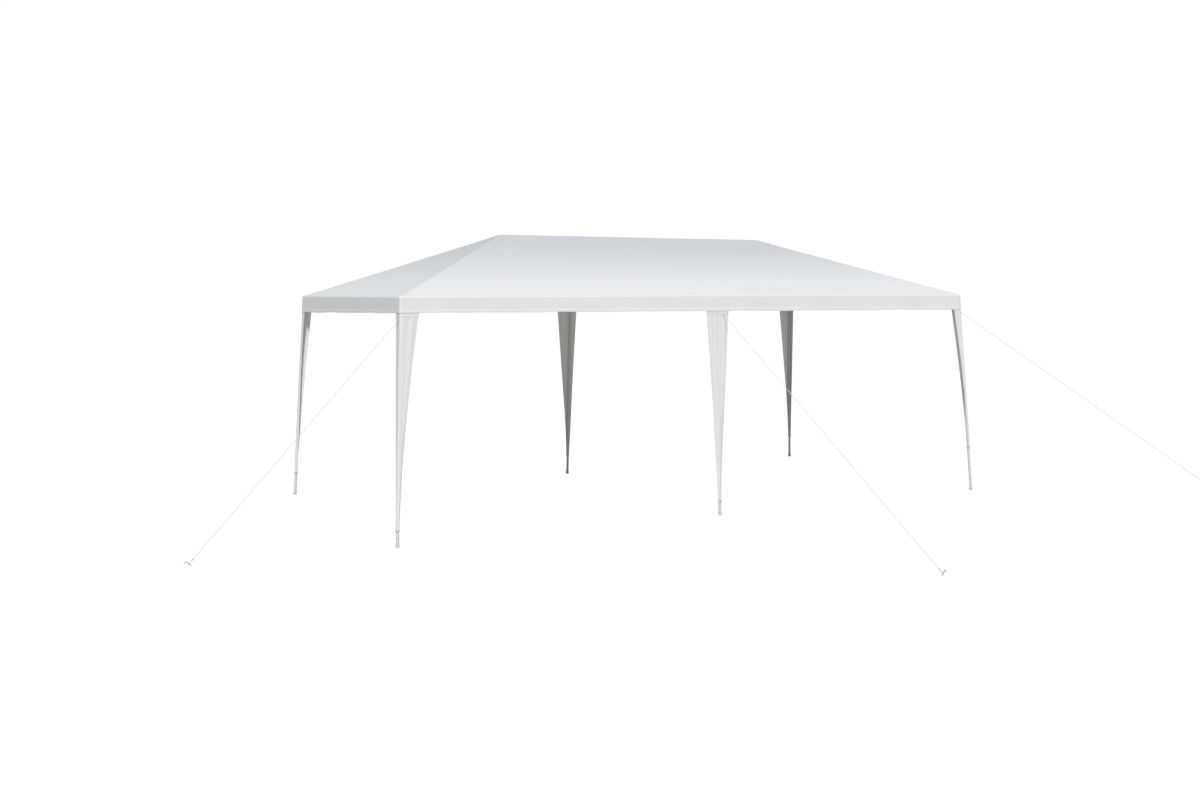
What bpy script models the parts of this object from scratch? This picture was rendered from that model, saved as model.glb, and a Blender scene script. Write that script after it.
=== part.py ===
"""A white party tent, 20 by 10 feet at its feet: round tubes in moulded connectors, six splayed legs,
a sewn hipped cover with a valance and tapered leg covers, and three guy ropes on their pegs.

Metres, +Z up, the long front side facing -Y. The origin is on the ground under the front middle foot.
Points below are measured from the tent's own centre, and an empty carries everything to its place.
"""

import math

import bmesh
import bpy
from mathutils import Vector

FOOT = 0.3048

# The feet stand 20 by 10 feet apart. The legs splay out to them from the eaves.
FOOT_X = 10 * FOOT
FOOT_Y = 5 * FOOT

# Where the tube axes meet.
EAVE_X = 2.976
EAVE_Y = 1.424
EAVE_Z = 1.967
RIDGE_X = 1.490
RIDGE_Z = 2.544

# Tubes: 25 mm outside, each long one in two lengths with a pressed joint at its middle.
TUBE_R = 0.0125
JOINT_R = 0.0136
JOINT_HALF = 0.030
JOINT_EDGE = 0.003
TUBE_SIDES = 16

# Connectors: moulded sleeves that the tubes push into, as far as a stop.
SLEEVE_R = 0.0165
SLEEVE_BORE_R = 0.0130
SLEEVE_END = 0.100
SLEEVE_STOP = 0.045
ELBOW_R = 0.0160
TUBE_INSET = SLEEVE_STOP + 0.0010

# Foot caps: a dark plug over the foot of each leg, flat on the ground.
CAP_BASE_R = 0.0160
CAP_TOP_R = 0.0150
CAP_BORE_R = 0.0131
CAP_H = 0.034
CAP_FLOOR = 0.0055
LEG_END_Z = CAP_FLOOR + 0.0004

# The cover lies over the frame: its inner face clears the sleeves, its outer face is one cloth further.
SKIN_INNER = SLEEVE_R + 0.0005
SKIN_OUTER = SKIN_INNER + 0.0025
HEM_Z = 1.835
SEAM_GAP = 0.0002

# Leg covers: flat cuts, folded round the corner legs, tapering down to a tie above the foot. A corner
# cover reaches along the long and the short side of the tent from its leg, and a middle one to the
# right and the left. The power says how hollow each edge's taper is.
COVER_LEVELS = (0.0, 0.25, 0.5, 0.75, 1.0)
MIDDLE_COVER_FOOT = 0.022
CORNER_COVER_FOOT = 0.034
CORNER_COVERS = {
    "front_left": {"long": (0.158, 1.55), "short": (0.090, 1.3), "foot_z": 0.120},
    "front_right": {"long": (0.098, 1.9), "short": (0.140, 1.1), "foot_z": 0.420},
    "back_left": {"long": (0.094, 1.1), "short": (0.105, 3.0), "foot_z": 0.210},
    "back_right": {"long": (0.150, 1.25), "short": (0.074, 1.1), "foot_z": 0.240},
}
MIDDLE_COVERS = {
    "front_middle": {"right": (0.152, 1.25), "left": (0.092, 1.25), "foot_z": 0.120},
    "back_middle": {"right": (0.080, 1.1), "left": (0.160, 1.25), "foot_z": 0.200},
}

# Guy ropes, from just under the valance to pegs out on the ground.
ROPE_R = 0.002
ROPE_SIDES = 8
ROPE_GAP = 0.0003
PEG_R = 0.003
PEG_SIDES = 8
PEG_SHAFT = 0.045
PEG_HOOK_R = 0.009
PEG_HOOK_TURN = math.radians(150)
PEG_HOOK_STEPS = 6
LOOP_UP = 0.020
LOOP_R = PEG_R + 0.0004 + ROPE_R
LOOP_SIDES = 16
LEFT_ROPE_TOP = (1.417, 1.790)
LEFT_PEG = Vector((-4.607, -1.417, 0.0))
FRONT_ROPE_TOP = (0.090, 1.812)
FRONT_PEG = Vector((0.0, -4.346, 0.0))
RIGHT_ROPE_TOP = (1.425, 1.808)
RIGHT_PEG = Vector((4.940, -2.945, 0.0))

SPLAY_X = (FOOT_X - EAVE_X) / EAVE_Z
SPLAY_Y = (FOOT_Y - EAVE_Y) / EAVE_Z

# Every leg: its name and the sides it stands on, -1 and +1 for left and right, front and back.
LEGS = {
    "front_left": (-1, -1),
    "front_middle": (0, -1),
    "front_right": (1, -1),
    "back_left": (-1, 1),
    "back_middle": (0, 1),
    "back_right": (1, 1),
}


def clear_scene():
    for thing in list(bpy.data.objects):
        bpy.data.objects.remove(thing, do_unlink=True)


def material(name, colour, roughness, metallic=0.0):
    made = bpy.data.materials.new(name)
    made.use_nodes = True
    shader = made.node_tree.nodes["Principled BSDF"]
    shader.inputs["Base Color"].default_value = (*colour, 1.0)
    shader.inputs["Roughness"].default_value = roughness
    shader.inputs["Metallic"].default_value = metallic
    return made


def add_piece(name, mesh, finish, home):
    """Puts a mesh into the scene as one named piece, carried by the tent's centre."""
    mesh.name = name
    mesh.materials.clear()
    mesh.materials.append(finish)
    mesh.shade_smooth()
    mesh.set_sharp_from_angle(angle=math.radians(35))
    piece = bpy.data.objects.new(name, mesh)
    bpy.context.collection.objects.link(piece)
    piece.parent = home
    return piece


def lofted(rings, closed=False):
    """A closed solid through rings of as many points each: skinned between them, and capped at both
    ends, or joined from the last ring back to the first."""
    form = bmesh.new()
    rows = [[form.verts.new(point) for point in ring] for ring in rings]
    pairs = list(zip(rows, rows[1:]))
    if closed:
        pairs.append((rows[-1], rows[0]))
    for low, high in pairs:
        for i in range(len(low)):
            j = (i + 1) % len(low)
            form.faces.new((low[i], low[j], high[j], high[i]))
    if not closed:
        form.faces.new(rows[0][::-1])
        form.faces.new(rows[-1])
    bmesh.ops.recalc_face_normals(form, faces=form.faces)
    mesh = bpy.data.meshes.new("solid")
    form.to_mesh(mesh)
    form.free()
    return mesh


def across(direction):
    """Two unit directions square to this one and to each other."""
    guide = Vector((0, 0, 1)) if abs(direction.z) < 0.9 else Vector((0, 1, 0))
    side = direction.cross(guide).normalized()
    return side, side.cross(direction).normalized()


def ring(centre, direction, radius, sides, cut=None):
    """A circle of points round a centre line. With a cut, each point slides along the line onto the
    plane through the centre with that normal, which gives an end sawn at a slant."""
    side, up = across(direction)
    points = []
    for i in range(sides):
        angle = math.tau * (i + 0.5) / sides
        offset = radius * (math.cos(angle) * side + math.sin(angle) * up)
        if cut is not None:
            offset -= direction * (offset.dot(cut) / direction.dot(cut))
        points.append(centre + offset)
    return points


def inset(corners, distance):
    """A flat outline with every edge moved inwards by one distance."""
    count = len(corners)
    normal = sum(
        ((corners[i] - corners[0]).cross(corners[i + 1] - corners[0]) for i in range(1, count - 1)),
        Vector(),
    ).normalized()
    moved = []
    for i, corner in enumerate(corners):
        before = normal.cross((corner - corners[i - 1]).normalized())
        after = normal.cross((corners[(i + 1) % count] - corner).normalized())
        moved.append(corner + distance * (before + after) / (1 + before.dot(after)))
    return moved


def panel(outer, inner):
    """A flat cloth panel between its outer and inner faces, drawn back a little at every seam."""
    return lofted([inset(outer, SEAM_GAP), inset(inner, SEAM_GAP)])


def fused(bodies, cutters):
    """One mesh: the bodies joined, then the cutters taken out of them."""
    helpers = []
    for mesh in bodies + cutters:
        helper = bpy.data.objects.new("helper", mesh)
        bpy.context.collection.objects.link(helper)
        helpers.append(helper)
    base = helpers[0]
    for i, helper in enumerate(helpers[1:], start=1):
        step = base.modifiers.new("step", "BOOLEAN")
        step.operation = "UNION" if i < len(bodies) else "DIFFERENCE"
        step.object = helper
    bpy.context.view_layer.update()
    view = bpy.context.evaluated_depsgraph_get()
    mesh = bpy.data.meshes.new_from_object(base.evaluated_get(view))
    for helper in helpers:
        bpy.data.objects.remove(helper, do_unlink=True)
    return mesh


def frame_points():
    """The places where tube axes meet, and the feet, by name."""
    points = {
        "ridge_left": Vector((-RIDGE_X, 0, RIDGE_Z)),
        "ridge_middle": Vector((0, 0, RIDGE_Z)),
        "ridge_right": Vector((RIDGE_X, 0, RIDGE_Z)),
    }
    for name, (x, y) in LEGS.items():
        points[name] = Vector((x * EAVE_X, y * EAVE_Y, EAVE_Z))
        points["foot_" + name] = Vector((x * FOOT_X, y * FOOT_Y, 0))
    return points


def frame_tubes():
    """Every tube but the legs: its name and the two places that it joins."""
    tubes = {}
    for depth in ("front", "back"):
        for side in ("left", "right"):
            tubes[f"eave_tube_{depth}_{side}"] = (f"{depth}_{side}", f"{depth}_middle")
            tubes[f"hip_rafter_{depth}_{side}"] = (f"{depth}_{side}", f"ridge_{side}")
        tubes[f"middle_rafter_{depth}"] = (f"{depth}_middle", "ridge_middle")
    for side in ("left", "right"):
        tubes[f"eave_tube_{side}"] = (f"front_{side}", f"back_{side}")
        tubes[f"ridge_tube_{side}"] = (f"ridge_{side}", "ridge_middle")
    return tubes


def tube(start, end, foot_cut=None):
    """A round tube with a pressed joint at its middle: rings carried along its axis. The foot of a
    leg is sawn level."""
    along = (end - start).normalized()
    length = (end - start).length
    middle = length / 2
    profile = [
        (0.0, TUBE_R),
        (middle - JOINT_HALF, TUBE_R),
        (middle - JOINT_HALF + JOINT_EDGE, JOINT_R),
        (middle + JOINT_HALF - JOINT_EDGE, JOINT_R),
        (middle + JOINT_HALF, TUBE_R),
        (length, TUBE_R),
    ]
    rings = [ring(start + along * at, along, radius, TUBE_SIDES) for at, radius in profile]
    if foot_cut is not None:
        rings[-1] = ring(end, along, TUBE_R, TUBE_SIDES, cut=foot_cut)
    return lofted(rings)


def connector(centre, neighbours):
    """A round elbow with a sleeve towards each tube, bored out from its mouth to the stop."""
    elbow = bmesh.new()
    bmesh.ops.create_icosphere(elbow, subdivisions=2, radius=ELBOW_R)
    bmesh.ops.translate(elbow, verts=elbow.verts, vec=centre)
    ball = bpy.data.meshes.new("elbow")
    elbow.to_mesh(ball)
    elbow.free()
    sleeves, bores = [], []
    for neighbour in neighbours:
        along = (neighbour - centre).normalized()
        spans = (
            (sleeves, 0.0, SLEEVE_END, SLEEVE_R),
            (bores, SLEEVE_STOP, SLEEVE_END + 0.01, SLEEVE_BORE_R),
        )
        for made, low, high, radius in spans:
            ends = (centre + along * low, centre + along * high)
            made.append(lofted([ring(end, along, radius, TUBE_SIDES) for end in ends]))
    return fused([ball] + sleeves, bores)


def foot_cap(foot, leg_direction):
    """A cup round the foot of a leg: level rings that follow the slant of the leg, up its outside,
    over its rim and down to its floor."""
    profile = [(0.0, CAP_BASE_R), (CAP_H, CAP_TOP_R), (CAP_H, CAP_BORE_R), (CAP_FLOOR, CAP_BORE_R)]
    level = Vector((0, 0, 1))
    rings = []
    for height, radius in profile:
        centre = foot + leg_direction * (height / leg_direction.z)
        rings.append(ring(centre, level, radius, TUBE_SIDES))
    return lofted(rings)


def skin(x, y, z, offset):
    """A point of the cover's upright faces at this height: they lean out as the legs do. x and y are
    -1, 0 or +1, and the offset is measured outwards from the frame's axes."""
    down = EAVE_Z - z
    return Vector((x * (EAVE_X + offset + SPLAY_X * down), y * (EAVE_Y + offset + SPLAY_Y * down), z))


def eave_height(offset):
    """How high the roof is over its eave edge, on a face this far outside the frame's axes."""
    pitch = math.atan2(RIDGE_Z - EAVE_Z, EAVE_Y)
    return EAVE_Z + offset * (1 - math.sin(pitch)) / math.cos(pitch)


def cover_corners(offset):
    """The roof's ridge ends, its eave corners and its hem corners on one face of the cloth."""
    pitch = math.atan2(RIDGE_Z - EAVE_Z, EAVE_Y)
    ridge_z = RIDGE_Z + offset / math.cos(pitch)
    corners = {"ridge_left": Vector((-RIDGE_X, 0, ridge_z)), "ridge_right": Vector((RIDGE_X, 0, ridge_z))}
    for name, (x, y) in LEGS.items():
        corners["eave_" + name] = skin(x, y, eave_height(offset), offset)
        corners["hem_" + name] = skin(x, y, HEM_Z, offset)
    return corners


def cover_panels():
    """The sewn panels of the roof and the valance, by name, each as a list of corner names."""
    panels = {
        "roof_panel_front": ("eave_front_left", "eave_front_right", "ridge_right", "ridge_left"),
        "roof_panel_back": ("eave_back_right", "eave_back_left", "ridge_left", "ridge_right"),
        "roof_panel_left": ("eave_back_left", "eave_front_left", "ridge_left"),
        "roof_panel_right": ("eave_front_right", "eave_back_right", "ridge_right"),
    }
    sides = {
        "front": ("front_left", "front_right"),
        "back": ("back_right", "back_left"),
        "left": ("back_left", "front_left"),
        "right": ("front_right", "back_right"),
    }
    for side, (a, b) in sides.items():
        panels["valance_" + side] = (f"hem_{a}", f"hem_{b}", f"eave_{b}", f"eave_{a}")
    return panels


def cover_width(spec, foot, level):
    """How far a leg cover reaches at this share of its way down: it narrows by a power of what is
    left of the way."""
    top, power = spec
    return foot + (top - foot) * (1 - level) ** power


def cover_heights(foot_z):
    """Each level's share of the way down a leg cover, with its height."""
    top = HEM_Z - SEAM_GAP
    return [(level, top + level * (foot_z - top)) for level in COVER_LEVELS]


def middle_cover(y, right, left, foot_z):
    """The flat leg cover of a middle leg, a long hollow taper from the hem to the tie."""
    rings = []
    for level, z in cover_heights(foot_z):
        outer, inner = skin(0, y, z, SKIN_OUTER), skin(0, y, z, SKIN_INNER)
        to_right = Vector((cover_width(right, MIDDLE_COVER_FOOT, level), 0, 0))
        to_left = Vector((-cover_width(left, MIDDLE_COVER_FOOT, level), 0, 0))
        rings.append([outer + to_left, outer + to_right, inner + to_right, inner + to_left])
    return lofted(rings)


def corner_cover(x, y, long, short, foot_z):
    """The leg cover of a corner leg: the same taper folded round the corner, with the given reach of
    cloth along the long and the short side of the tent."""
    rings = []
    for level, z in cover_heights(foot_z):
        outer = skin(x, y, z, SKIN_OUTER)
        inner = skin(x, y, z, SKIN_INNER)
        along_x = Vector((-x * cover_width(long, CORNER_COVER_FOOT, level), 0, 0))
        along_y = Vector((0, -y * cover_width(short, CORNER_COVER_FOOT, level), 0))
        long_edge = Vector((outer.x + along_x.x, inner.y, z))
        short_edge = Vector((inner.x, outer.y + along_y.y, z))
        rings.append([outer + along_x, outer, outer + along_y, short_edge, inner, long_edge])
    return lofted(rings)


def guy_rope(top, face, peg, peg_direction):
    """A taut rope: a straight round line from the cloth face, with an eye round the peg's shaft."""
    eye = peg + peg_direction * LOOP_UP
    along = (top - eye).normalized()
    near = eye + along * LOOP_R
    start = top + face * ROPE_GAP
    line = lofted([ring(near, along, ROPE_R, ROPE_SIDES), ring(start, along, ROPE_R, ROPE_SIDES, cut=face)])
    side, up = across(peg_direction)
    turns = []
    for i in range(LOOP_SIDES):
        angle = math.tau * i / LOOP_SIDES
        out = math.cos(angle) * side + math.sin(angle) * up
        turns.append(ring(eye + out * LOOP_R, out.cross(peg_direction), ROPE_R, ROPE_SIDES))
    return fused([line, lofted(turns, closed=True)], [])


def ground_peg(peg, peg_direction):
    """The part of a bent steel peg above the ground: a leaning shaft, sawn level where it enters the
    ground, and a hook that turns down and away from the tent."""
    away = Vector((peg_direction.x, peg_direction.y, 0)).normalized()
    axis = peg_direction.cross(away).normalized()
    outwards = axis.cross(peg_direction).normalized()
    shaft_top = peg + peg_direction * PEG_SHAFT
    rings = [ring(peg, peg_direction, PEG_R, PEG_SIDES, cut=Vector((0, 0, 1)))]
    hook_centre = shaft_top + outwards * PEG_HOOK_R
    for i in range(PEG_HOOK_STEPS + 1):
        angle = PEG_HOOK_TURN * i / PEG_HOOK_STEPS
        spoke = -math.cos(angle) * outwards + math.sin(angle) * peg_direction
        heading = math.sin(angle) * outwards + math.cos(angle) * peg_direction
        rings.append(ring(hook_centre + spoke * PEG_HOOK_R, heading, PEG_R, PEG_SIDES))
    return lofted(rings)


def build_frame(home, steel, moulding, dark_moulding):
    points = frame_points()
    tubes = frame_tubes()
    neighbours = {name: [] for name in points}
    for name, (a, b) in tubes.items():
        neighbours[a].append(points[b])
        neighbours[b].append(points[a])
        along = (points[b] - points[a]).normalized() * TUBE_INSET
        add_piece(name, tube(points[a] + along, points[b] - along), steel, home)
    for name in LEGS:
        top, foot = points[name], points["foot_" + name]
        neighbours[name].append(foot)
        down = (foot - top).normalized()
        end = foot + down * (LEG_END_Z / down.z)
        leg = tube(top + down * TUBE_INSET, end, foot_cut=Vector((0, 0, 1)))
        add_piece("leg_" + name, leg, steel, home)
        add_piece("foot_cap_" + name, foot_cap(foot, down), dark_moulding, home)
    connectors = {
        "ridge_end_connector_left": "ridge_left",
        "ridge_end_connector_right": "ridge_right",
        "ridge_middle_connector": "ridge_middle",
        "side_connector_front": "front_middle",
        "side_connector_back": "back_middle",
    }
    for name, (x, _) in LEGS.items():
        if x:
            connectors["corner_connector_" + name] = name
    for name, place in connectors.items():
        add_piece(name, connector(points[place], neighbours[place]), moulding, home)


def build_cover(home, cloth):
    outer = cover_corners(SKIN_OUTER)
    inner = cover_corners(SKIN_INNER)
    for name, corners in cover_panels().items():
        faces = ([face[corner] for corner in corners] for face in (outer, inner))
        add_piece(name, panel(*faces), cloth, home)
    for name, (x, y) in LEGS.items():
        if x:
            mesh = corner_cover(x, y, **CORNER_COVERS[name])
        else:
            mesh = middle_cover(y, **MIDDLE_COVERS[name])
        add_piece("leg_cover_" + name, mesh, cloth, home)


def build_ropes(home, rope, zinc):
    left_y, left_z = LEFT_ROPE_TOP
    front_x, front_z = FRONT_ROPE_TOP
    right_y, right_z = RIGHT_ROPE_TOP
    left = skin(-1, 0, left_z, SKIN_OUTER)
    front = skin(0, -1, front_z, SKIN_OUTER)
    right = skin(1, 0, right_z, SKIN_OUTER)
    lines = {
        "left": (Vector((left.x, -left_y, left_z)), Vector((-1, 0, SPLAY_X)), LEFT_PEG),
        "front": (Vector((front_x, front.y, front_z)), Vector((0, -1, SPLAY_Y)), FRONT_PEG),
        "right": (Vector((right.x, -right_y, right_z)), Vector((1, 0, SPLAY_X)), RIGHT_PEG),
    }
    for name, (top, face, peg) in lines.items():
        pull = (top - peg).normalized()
        level = Vector((pull.x, pull.y, 0)).normalized()
        lean = (Vector((0, 0, 1)) * pull.dot(level) - level * pull.z).normalized()
        add_piece("guy_rope_" + name, guy_rope(top, face.normalized(), peg, lean), rope, home)
        add_piece("ground_peg_" + name, ground_peg(peg, lean), zinc, home)


def main():
    clear_scene()
    home = bpy.data.objects.new("tent_centre", None)
    home.location = (0, FOOT_Y, 0)
    bpy.context.collection.objects.link(home)
    steel = material("white_tube", (0.80, 0.81, 0.80), 0.35)
    moulding = material("white_moulding", (0.74, 0.75, 0.74), 0.5)
    dark_moulding = material("dark_moulding", (0.04, 0.045, 0.045), 0.6)
    cloth = material("white_cover", (0.84, 0.85, 0.86), 0.55)
    rope = material("white_rope", (0.78, 0.78, 0.75), 0.8)
    zinc = material("zinc_peg", (0.55, 0.56, 0.57), 0.4, metallic=1.0)
    build_frame(home, steel, moulding, dark_moulding)
    build_cover(home, cloth)
    build_ropes(home, rope, zinc)


main()
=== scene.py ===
"""The looks of a white party tent, 20 by 10 feet: a sewn hipped cover, wrinkled leg covers, painted
tubes in moulded connectors, light grey foot caps, and twisted guy ropes on bent steel pegs.

Metres, +Z up, the long front side facing -Y. Points are worked out from the tent's own centre, and
put_home carries them to the row frame, whose origin is under the front middle foot.
New pieces are surfaces worked out as whole numpy arrays: a grid of points, or a profile carried along
a path.
"""

import functools
import math

import bmesh
import bpy
import numpy as np
from mathutils import Matrix, Vector


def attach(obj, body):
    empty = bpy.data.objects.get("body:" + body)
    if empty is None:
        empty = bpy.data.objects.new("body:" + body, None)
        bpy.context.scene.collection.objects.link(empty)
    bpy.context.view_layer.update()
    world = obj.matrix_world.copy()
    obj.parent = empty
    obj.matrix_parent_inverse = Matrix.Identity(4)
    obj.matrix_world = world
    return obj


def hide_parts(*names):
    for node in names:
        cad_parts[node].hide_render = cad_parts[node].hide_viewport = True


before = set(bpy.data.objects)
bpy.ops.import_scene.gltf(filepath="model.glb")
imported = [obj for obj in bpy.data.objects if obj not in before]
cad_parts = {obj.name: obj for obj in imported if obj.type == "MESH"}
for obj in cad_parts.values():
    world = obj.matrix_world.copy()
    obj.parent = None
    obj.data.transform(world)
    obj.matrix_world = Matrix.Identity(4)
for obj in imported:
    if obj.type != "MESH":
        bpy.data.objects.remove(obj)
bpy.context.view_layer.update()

TAU = math.tau
X, Y, UP = np.eye(3)

# The frame, as the model holds it: feet, and the places where the tube axes meet.
FOOT_X = 3.048
FOOT_Y = 1.524
EAVE_X = 2.976
EAVE_Y = 1.424
EAVE_Z = 1.967
RIDGE_X = 1.490
RIDGE_Z = 2.544
RISE = RIDGE_Z - EAVE_Z
SPLAY_X = (FOOT_X - EAVE_X) / EAVE_Z
SPLAY_Y = (FOOT_Y - EAVE_Y) / EAVE_Z
PITCH = math.atan2(RISE, EAVE_Y)
END_PITCH = math.atan2(RISE, EAVE_X - RIDGE_X)

# Every leg, and the sides it stands on.
LEGS = {
    "front_left": (-1, -1),
    "front_middle": (0, -1),
    "front_right": (1, -1),
    "back_left": (-1, 1),
    "back_middle": (0, 1),
    "back_right": (1, 1),
}

# Tubes, with their pressed joint and spring button.
TUBE_R = 0.0125
TUBE_END = 0.0012
JOINT_R = 0.0136
JOINT_HALF = 0.030
TUBE_INSET = 0.046
TUBE_SIDES = 40
BUTTON_R = 0.0034
BUTTON_UP = 0.0022
BUTTON_AT = 0.017
BUTTON_SUNK = 0.0008

# Connectors.
SLEEVE_R = 0.0162
COLLAR_R = 0.0174
SLEEVE_END = 0.100
SLEEVE_STOP = 0.045
COLLAR_AT = 0.0855
SLEEVE_RIBS = (0.052, 0.060)
BORE_R = 0.0130
SLEEVE_SIDES = 32
ELBOW_R = SLEEVE_R * 1.04
SCREW_AT = 0.074
SCREW_R = 0.0036
SCREW_SUNK = 0.0004

# Foot caps.
CAP_BASE_R = 0.0160
CAP_TOP_R = 0.0150
CAP_BORE_R = 0.0131
CAP_RIBS = (0.010, 0.016, 0.022, 0.028)
CAP_H = 0.034
CAP_FLOOR = 0.0055
LEG_END_Z = CAP_FLOOR + 0.0004

# The cover: its outer face lies a skin outside the tube axes, hugs the frame, sags between its tubes
# and has a folded hem, which hangs higher or lower at each corner, listed in order round the tent.
SKIN = 0.0195
CLOTH = 0.0010
SAG = 0.006
HUG = 0.0040
EAVE_ROLL = 0.023
HEM_Z = 1.835
HEM_FOLD = 0.022
HEM_THICK = 0.0004
HEM_LEVELS = (HEM_FOLD + 0.001, HEM_FOLD, 0.012, 0.0025, 0.0015, 0.0)
HEM_RISE = {"front_left": 0.014, "front_right": -0.006, "back_right": 0.0, "back_left": -0.016}
ROOF_WAVE = 0.0005
VALANCE_WAVE = 0.0026
VALANCE_IN = 0.0012
HEM_WAVE = 0.0022
WAVE_LENGTHS = (0.93, 0.61, 0.37, 0.23)
WAVE_PEAK = 1.3
ROOF_SEED = 7
VALANCE_SEED = 11
HEM_SEED = 23
CALM_REACH = (0.13, 0.34)
CORNER_STEPS = 6
CORNER_RUN = 1.5 * SKIN
RIDGE_ROWS = 6
SLOPE_ROWS = 45
EAVE_ROWS = 7
VALANCE_ROWS = 9

# Sides in order round the tent: start and end corner, outward direction, stations, and bays.
SIDES = (
    ((-1, -1), (1, -1), (0, -1), 200, 2),
    ((1, -1), (1, 1), (1, 0), 96, 1),
    ((1, 1), (-1, 1), (0, 1), 200, 2),
    ((-1, 1), (-1, -1), (-1, 0), 96, 1),
)

# Leg covers. Along the tent's long side and along its short one (a middle leg's right and left, seen
# from outside): the cloth's reach from the pole at the top, and how fast that reach tapers. foot_z is
# where the cover ends. One short side has an end width and a curl of its own.
COVER_TOP_Z = HEM_Z + 0.016
COVER_OUT = 0.0155
TIED_R = 0.0152
TIED_WIDTH = 0.022
CURL = 5.0
LEG_COVERS = {
    "front_left": {"long": (0.158, 1.55), "short": (0.090, 1.3), "foot_z": 0.120},
    "front_middle": {"long": (0.152, 1.25), "short": (0.092, 1.25), "foot_z": 0.120},
    "front_right": {"long": (0.098, 1.9), "short": (0.140, 1.1), "foot_z": 0.420},
    "back_left": {"long": (0.094, 1.1), "short": (0.105, 6.0), "foot_z": 0.210, "end": 0.045, "curl": 1.5},
    "back_middle": {"long": (0.160, 1.25), "short": (0.080, 1.1), "foot_z": 0.200},
    "back_right": {"long": (0.150, 1.25), "short": (0.074, 1.1), "foot_z": 0.240},
}
LEG_CLOTH = 0.0008
LEG_HEM = 0.0006
LEG_FOLD = 0.010
LEG_FOLD_SHARE = 0.026
LEG_COVER_ROWS = 150
LEG_COVER_COLUMNS = 61
WRINKLES = ((3.3, 0.10), (5.1, 0.11), (8.3, 0.10), (12.7, 0.08))
TIE_UP = 0.012
TIE_R = 0.0009
TIE_WRAPS = 2

# Stitch rows on the cover and on a leg cover: the map, the part of it that runs along the row, and the
# row's distance from the edge.
ROOF_ROWS = (("cut", 0, 0.010), ("cut", 0, 0.020), ("cut", 0, 0.150), ("edge", 1, 0.006), ("edge", 1, 0.016))
LEG_ROWS = (("cut", 0, 0.030), ("cut", 0, 0.038), ("edge", 1, 0.008))

# Guy ropes and pegs, as the model holds them. A 1 or -1 in a rope's top stands for the side of the
# tent it starts on. A knot has a length, and its turns stand off by so many radii of the rope.
ROPE_R = 0.002
ROPE_LAY = 0.016
ROPE_STEP = 0.0016
ROPE_BEHIND = 0.003
STRANDS = 3
EYELET_R = 0.0056
PEG_R = 0.003
PEG_SHAFT = 0.045
PEG_HOOK_R = 0.009
PEG_HOOK_TURN = math.radians(150)
LOOP_UP = 0.020
LOOP_R = PEG_R + 0.0004 + ROPE_R
LOOP_KNOT = 0.042
EYE_KNOT = (0.016, 1.95)
TOP_KNOT = (0.008, 1.9)
ROPES = {
    "left": {"top": (-1, -1.417, 1.790), "peg": (-4.607, -1.417, 0.0)},
    "front": {"top": (0.090, -1, 1.812), "peg": (0.0, -4.346, 0.0)},
    "right": {"top": (1, -1.425, 1.808), "peg": (4.940, -2.945, 0.0)},
}

# The photograph's camera, fitted to the tent's corners, for an image 1200 pixels wide.
IMAGE_WIDTH = 1200
CAMERA_AT = (-6.4391, -11.1896, 2.0144)
CAMERA_YAW = -0.4946
CAMERA_ROLL = -0.0021
FOCAL_PIXELS = 1281.66
HORIZON_PIXELS = 107.9

# The studio: one soft key light, a white sky, and a pale floor that shows as almost white.
WHITE = (1.0, 1.0, 1.0)
FLOOR_TINT = (0.45, 0.445, 0.43)
FLOOR_GLOW = 0.93
FLOOR_WHITE = 1.06
FLOOR_REACH = 300.0
FLOOR_Z = -0.0006
SKY_COLOUR = (0.84, 0.97, 1.11)
SKY_STRENGTH = 0.395
SEEN_WHITE = 1.02
KEY_FROM = (-0.30, -0.59, 0.75)
KEY_STRENGTH = 2.86
KEY_SPREAD = math.radians(5.0)
KEY_COLOUR = (1.0, 0.955, 0.90)

# Colours: the cover's whites (up to the eave, at the ridge, below the eave), its underside's, and others.
# The darker white at the ridge is painted shade, and so are the underside's darker whites.
OUTER_WHITES_PAINTED_RIDGE_SHADE = ((0.745, 0.745, 0.76), (0.53, 0.55, 0.575), (0.785, 0.807, 0.795))
UNDERSIDE_PAINTED_SHADE_WHITES = ((0.70, 0.70, 0.68), (0.66, 0.66, 0.65), (0.72, 0.71, 0.67))
# Leg covers' inner faces: a warm cream white below the eaves, painted to warm the shade on them.
LEG_UNDERSIDE_PAINTED_WARM_SHADE_WHITES = (*OUTER_WHITES_PAINTED_RIDGE_SHADE[:2], (0.97, 0.955, 0.905))
TAPE_WHITE = (0.95, 0.96, 0.97)
# Grey for painted shade along the seams.
PAINTED_SEAM_SHADE_GREY = (0.45, 0.46, 0.46)
THREAD_GREY = (0.60, 0.61, 0.60)
CLOTH_DUST = (0.55, 0.52, 0.46)
PAINT = ((0.70, 0.735, 0.73), (0.63, 0.665, 0.66))
PAINT_DUST = (0.50, 0.47, 0.41)
BARE_STEEL = (0.42, 0.43, 0.44)
PLASTIC = ((0.74, 0.75, 0.74), (0.66, 0.67, 0.66), (0.50, 0.50, 0.49))
CAP_PLASTIC = ((0.68, 0.69, 0.69), (0.60, 0.61, 0.61), (0.48, 0.48, 0.47))
PLASTIC_DUST = (0.42, 0.39, 0.34)
# The rope's white, and a darker white that is painted shade between its strands.
ROPE_WHITE_AND_PAINTED_GROOVE_SHADE = ((0.76, 0.76, 0.74), (0.52, 0.52, 0.49))
ROPE_DUST = (0.48, 0.44, 0.37)
ZINC = ((0.76, 0.77, 0.78), (0.60, 0.61, 0.62))
ZINC_DUST = (0.33, 0.29, 0.23)
ELASTIC = ((0.30, 0.305, 0.31), (0.42, 0.425, 0.43))


# Arrays and surfaces


def unit(vectors):
    """Each vector divided by its length."""
    vectors = np.asarray(vectors, float)
    return vectors / np.linalg.norm(vectors, axis=-1, keepdims=True)


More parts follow.
